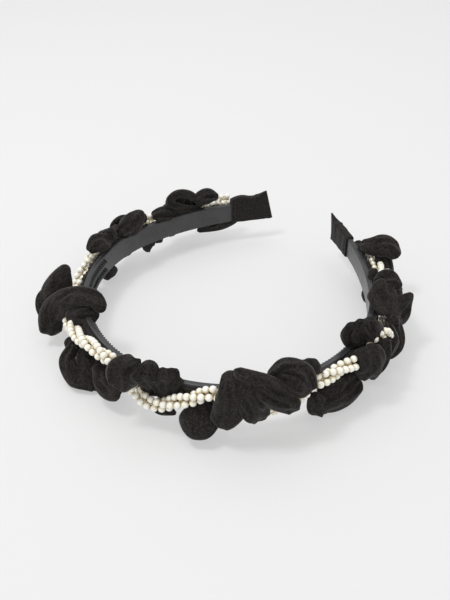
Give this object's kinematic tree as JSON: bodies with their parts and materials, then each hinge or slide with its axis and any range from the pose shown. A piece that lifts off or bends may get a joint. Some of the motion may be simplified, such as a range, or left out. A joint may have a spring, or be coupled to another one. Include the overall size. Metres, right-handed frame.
{
  "type": "headband",
  "caption": "Horseshoe headband of springy plastic with comb teeth, a gathered fabric ruffle on the outside and a twisted rope of pearls wound through it.",
  "frame": {"origin": "centre of the crown arc of the head opening, at the level of the lowest ruffle petals, the headband lying on its side", "axes": "+Z across the width of the band, -Y towards the crown, +Y towards the open tips, +X towards the right arm"},
  "size_m": [0.1518, 0.1461, 0.037],
  "materials": {
    "band_plastic": "dark grey semi-gloss moulding",
    "sleeve_fabric": "matte black crepe, pulled tight",
    "ruffle_fabric": "matte black crepe with a fine heathered weave",
    "adhesive": "dried clear adhesive",
    "sewing_thread": "black polyester thread",
    "pearl": "cream pearl lacquer",
    "stringing_thread": "fine ivory thread",
    "crimp_metal": "bright silver plate",
    "clear_nylon": "clear nylon filament"
  },
  "bodies": {
    "crown": {"band_crown": "band_plastic", "adhesive_crown": "adhesive", "gathering_thread_crown": "sewing_thread", "ruffle_crown": "ruffle_fabric", "pearls_a_crown": "pearl", "pearls_b_crown": "pearl", "pearls_c_crown": "pearl", "string_a_crown": "stringing_thread", "string_b_crown": "stringing_thread", "string_c_crown": "stringing_thread"},
    "left_arm": {"band_left_arm": "band_plastic", "left_end_sleeve": "sleeve_fabric", "left_sleeve_stitches": "sewing_thread", "adhesive_left_arm": "adhesive", "gathering_thread_left_arm": "sewing_thread", "ruffle_left_arm": "ruffle_fabric", "pearls_a_left_arm": "pearl", "pearls_b_left_arm": "pearl", "pearls_c_left_arm": "pearl", "string_a_left_arm": "stringing_thread", "string_b_left_arm": "stringing_thread", "string_c_left_arm": "stringing_thread", "left_rope_tie": "clear_nylon"},
    "right_arm": {"band_right_arm": "band_plastic", "right_end_sleeve": "sleeve_fabric", "right_sleeve_stitches": "sewing_thread", "adhesive_right_arm": "adhesive", "gathering_thread_right_arm": "sewing_thread", "ruffle_right_arm": "ruffle_fabric", "pearls_a_right_arm": "pearl", "pearls_b_right_arm": "pearl", "pearls_c_right_arm": "pearl", "string_a_right_arm": "stringing_thread", "string_b_right_arm": "stringing_thread", "string_c_right_arm": "stringing_thread", "crimp_bead": "crimp_metal", "right_rope_tie": "clear_nylon"}
  },
  "joints": [
    {"name": "left_arm_flex", "type": "hinge", "parent": "crown", "child": "left_arm", "pos_m": [-0.04674, -0.04709, 0.017], "axis": [0, 0, 1], "range_deg": [0, 18], "stiffness_Nm_per_rad": 0.4},
    {"name": "right_arm_flex", "type": "hinge", "parent": "crown", "child": "right_arm", "pos_m": [0.04674, -0.04709, 0.017], "axis": [0, 0, -1], "range_deg": [0, 18], "stiffness_Nm_per_rad": 0.4}
  ]
}
